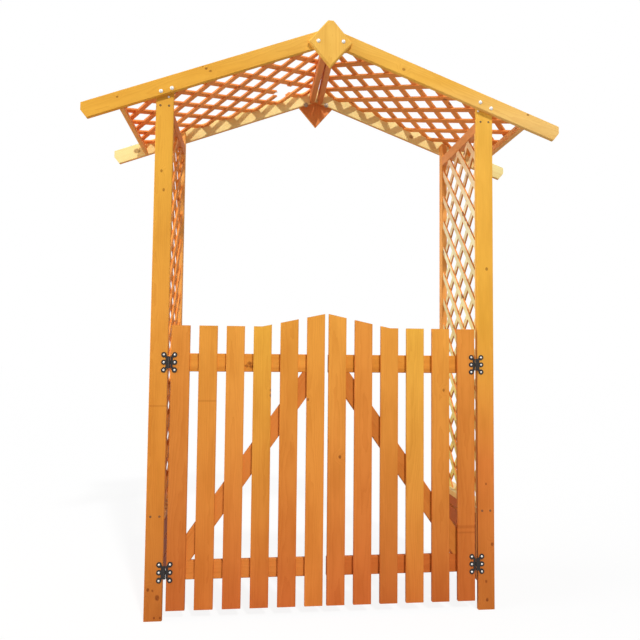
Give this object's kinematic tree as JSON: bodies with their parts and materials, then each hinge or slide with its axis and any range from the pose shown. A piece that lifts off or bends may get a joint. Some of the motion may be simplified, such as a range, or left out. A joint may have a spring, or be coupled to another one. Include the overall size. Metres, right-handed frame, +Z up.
{
  "type": "garden arch with gate",
  "caption": "Timber garden arch with a pitched lattice roof, lattice sides over kick boards, and a pair of braced picket gate leaves on iron hinges.",
  "frame": {"origin": "on the ground at the middle of the arch's footprint", "axes": "+X across the path to the right as seen from the front, +Y along the path away from the front, +Z up"},
  "size_m": [1.91, 0.622, 2.3252],
  "materials": {
    "pine": "honey stained planed pine",
    "slats": "honey stained thin slats",
    "iron": "black satin"
  },
  "bodies": {
    "arch": {"post_front_left": "pine", "post_front_right": "pine", "post_rear_left": "pine", "post_rear_right": "pine", "stile_left": "pine", "stile_right": "pine", "side_plank_top_left": "pine", "side_plank_top_right": "pine", "side_plank_low_left": "pine", "side_plank_low_right": "pine", "kick_boards_left": "pine", "kick_boards_right": "pine", "side_lattice_left": "slats", "side_lattice_right": "slats", "rafter_front_left": "pine", "rafter_front_right": "pine", "rafter_rear_left": "pine", "rafter_rear_right": "pine", "ridge_plate_front": "pine", "ridge_plate_rear": "pine", "ridge_batten_left": "pine", "ridge_batten_right": "pine", "eave_batten_left": "pine", "eave_batten_right": "pine", "roof_lattice_left": "slats", "roof_lattice_right": "slats", "post_hinges_left": "iron", "post_hinges_right": "iron"},
    "leaf_left": {"pale_left_1": "pine", "pale_left_2": "pine", "pale_left_3": "pine", "pale_left_4": "pine", "pale_left_5": "pine", "pale_left_6": "pine", "rail_top_left": "pine", "rail_low_left": "pine", "brace_left": "pine", "gate_hinges_left": "iron"},
    "leaf_right": {"pale_right_1": "pine", "pale_right_2": "pine", "pale_right_3": "pine", "pale_right_4": "pine", "pale_right_5": "pine", "pale_right_6": "pine", "rail_top_right": "pine", "rail_low_right": "pine", "brace_right": "pine", "gate_hinges_right": "iron"}
  },
  "joints": [
    {"name": "gate_left", "type": "hinge", "parent": "arch", "child": "leaf_left", "pos_m": [-0.60375, -0.2792, 0.57], "axis": [0, 0, -1], "range_deg": [0, 170]},
    {"name": "gate_right", "type": "hinge", "parent": "arch", "child": "leaf_right", "pos_m": [0.60375, -0.2792, 0.57], "axis": [0, 0, 1], "range_deg": [0, 170]}
  ]
}
